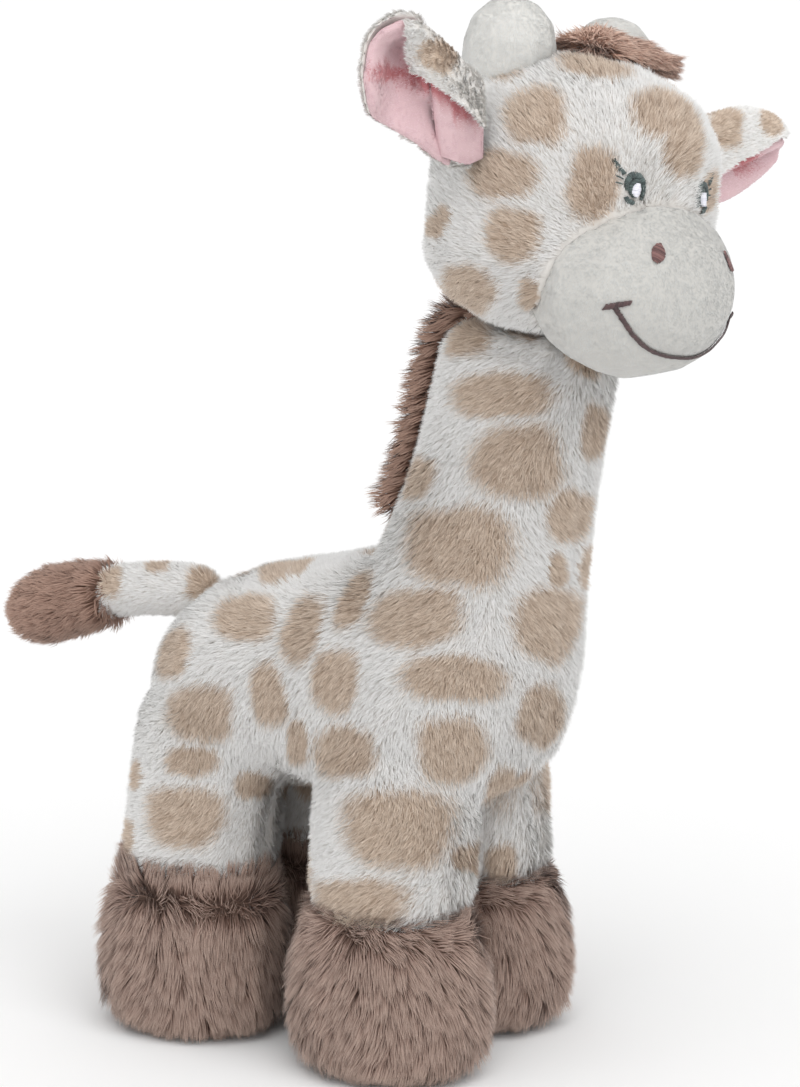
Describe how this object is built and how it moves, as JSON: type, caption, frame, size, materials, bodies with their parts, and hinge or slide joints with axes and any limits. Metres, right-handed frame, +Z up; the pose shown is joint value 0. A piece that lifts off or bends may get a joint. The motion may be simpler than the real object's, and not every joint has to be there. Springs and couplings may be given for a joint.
{
  "type": "plush giraffe",
  "caption": "Standing plush giraffe with folded ears, soft horns, a mane, a tufted tail and long-pile feet; the ears and the tail bend.",
  "frame": {"origin": "on the ground, under the middle of the whole toy's bounding box", "axes": "+Z up; the giraffe faces -Y; +X is the giraffe's own left"},
  "size_m": [0.1508, 0.2404, 0.28],
  "materials": {
    "spotted_plush": "short soft plush, off-white with printed tan spots",
    "long_pile": "long brushed rose-brown pile with lighter tips",
    "mane_pile": "brushed brown pile",
    "velboa": "smooth short-nap cream cloth",
    "pink_velboa": "smooth short-nap pink cloth",
    "dark_thread": "satin-stitched thread",
    "brown_thread": "satin-stitched thread",
    "white_thread": "satin-stitched thread",
    "fibre": "loose polyester stuffing"
  },
  "bodies": {
    "plush_body": {"head_panel_left": "spotted_plush", "head_panel_right": "spotted_plush", "head_filling": "fibre", "muzzle_cover": "velboa", "muzzle_filling": "fibre", "horn_cover_left": "velboa", "horn_filling_left": "fibre", "horn_cover_right": "velboa", "horn_filling_right": "fibre", "forelock": "mane_pile", "eye_stitching_left": "dark_thread", "eye_highlight_left": "white_thread", "nostril_left": "brown_thread", "eye_stitching_right": "dark_thread", "eye_highlight_right": "white_thread", "nostril_right": "brown_thread", "mouth_stitching": "brown_thread", "side_panel_left": "spotted_plush", "side_panel_right": "spotted_plush", "underbody_panel": "spotted_plush", "torso_filling": "fibre", "neck_filling": "fibre", "leg_filling_front_left": "fibre", "foot_filling_front_left": "fibre", "foot_sole_front_left": "long_pile", "foot_cover_front_left": "long_pile", "leg_filling_front_right": "fibre", "foot_filling_front_right": "fibre", "foot_sole_front_right": "long_pile", "foot_cover_front_right": "long_pile", "leg_filling_hind_left": "fibre", "foot_filling_hind_left": "fibre", "foot_sole_hind_left": "long_pile", "foot_cover_hind_left": "long_pile", "leg_filling_hind_right": "fibre", "foot_filling_hind_right": "fibre", "foot_sole_hind_right": "long_pile", "foot_cover_hind_right": "long_pile", "mane_strip": "mane_pile"},
    "ear_left": {"ear_plush_left": "spotted_plush", "ear_lining_left": "pink_velboa"},
    "ear_right": {"ear_plush_right": "spotted_plush", "ear_lining_right": "pink_velboa"},
    "tail": {"tail_cover": "spotted_plush", "tail_filling": "fibre", "tail_tuft": "long_pile"}
  },
  "joints": [
    {"name": "ear_left_bend", "type": "hinge", "parent": "plush_body", "child": "ear_left", "pos_m": [0.03551, -0.08031, 0.23298], "axis": [0.0961, -0.0169, 0.9952], "range_deg": [-15, 40], "stiffness_Nm_per_rad": 0.004},
    {"name": "ear_right_bend", "type": "hinge", "parent": "plush_body", "child": "ear_right", "pos_m": [-0.04041, -0.06692, 0.24872], "axis": [0.3226, -0.0569, 0.9448], "range_deg": [-40, 15], "stiffness_Nm_per_rad": 0.004},
    {"name": "tail_bend", "type": "hinge", "parent": "plush_body", "child": "tail", "pos_m": [-0.00422, 0.04722, 0.11407], "axis": [0, 0, 1], "range_deg": [-50, 50], "stiffness_Nm_per_rad": 0.006}
  ]
}
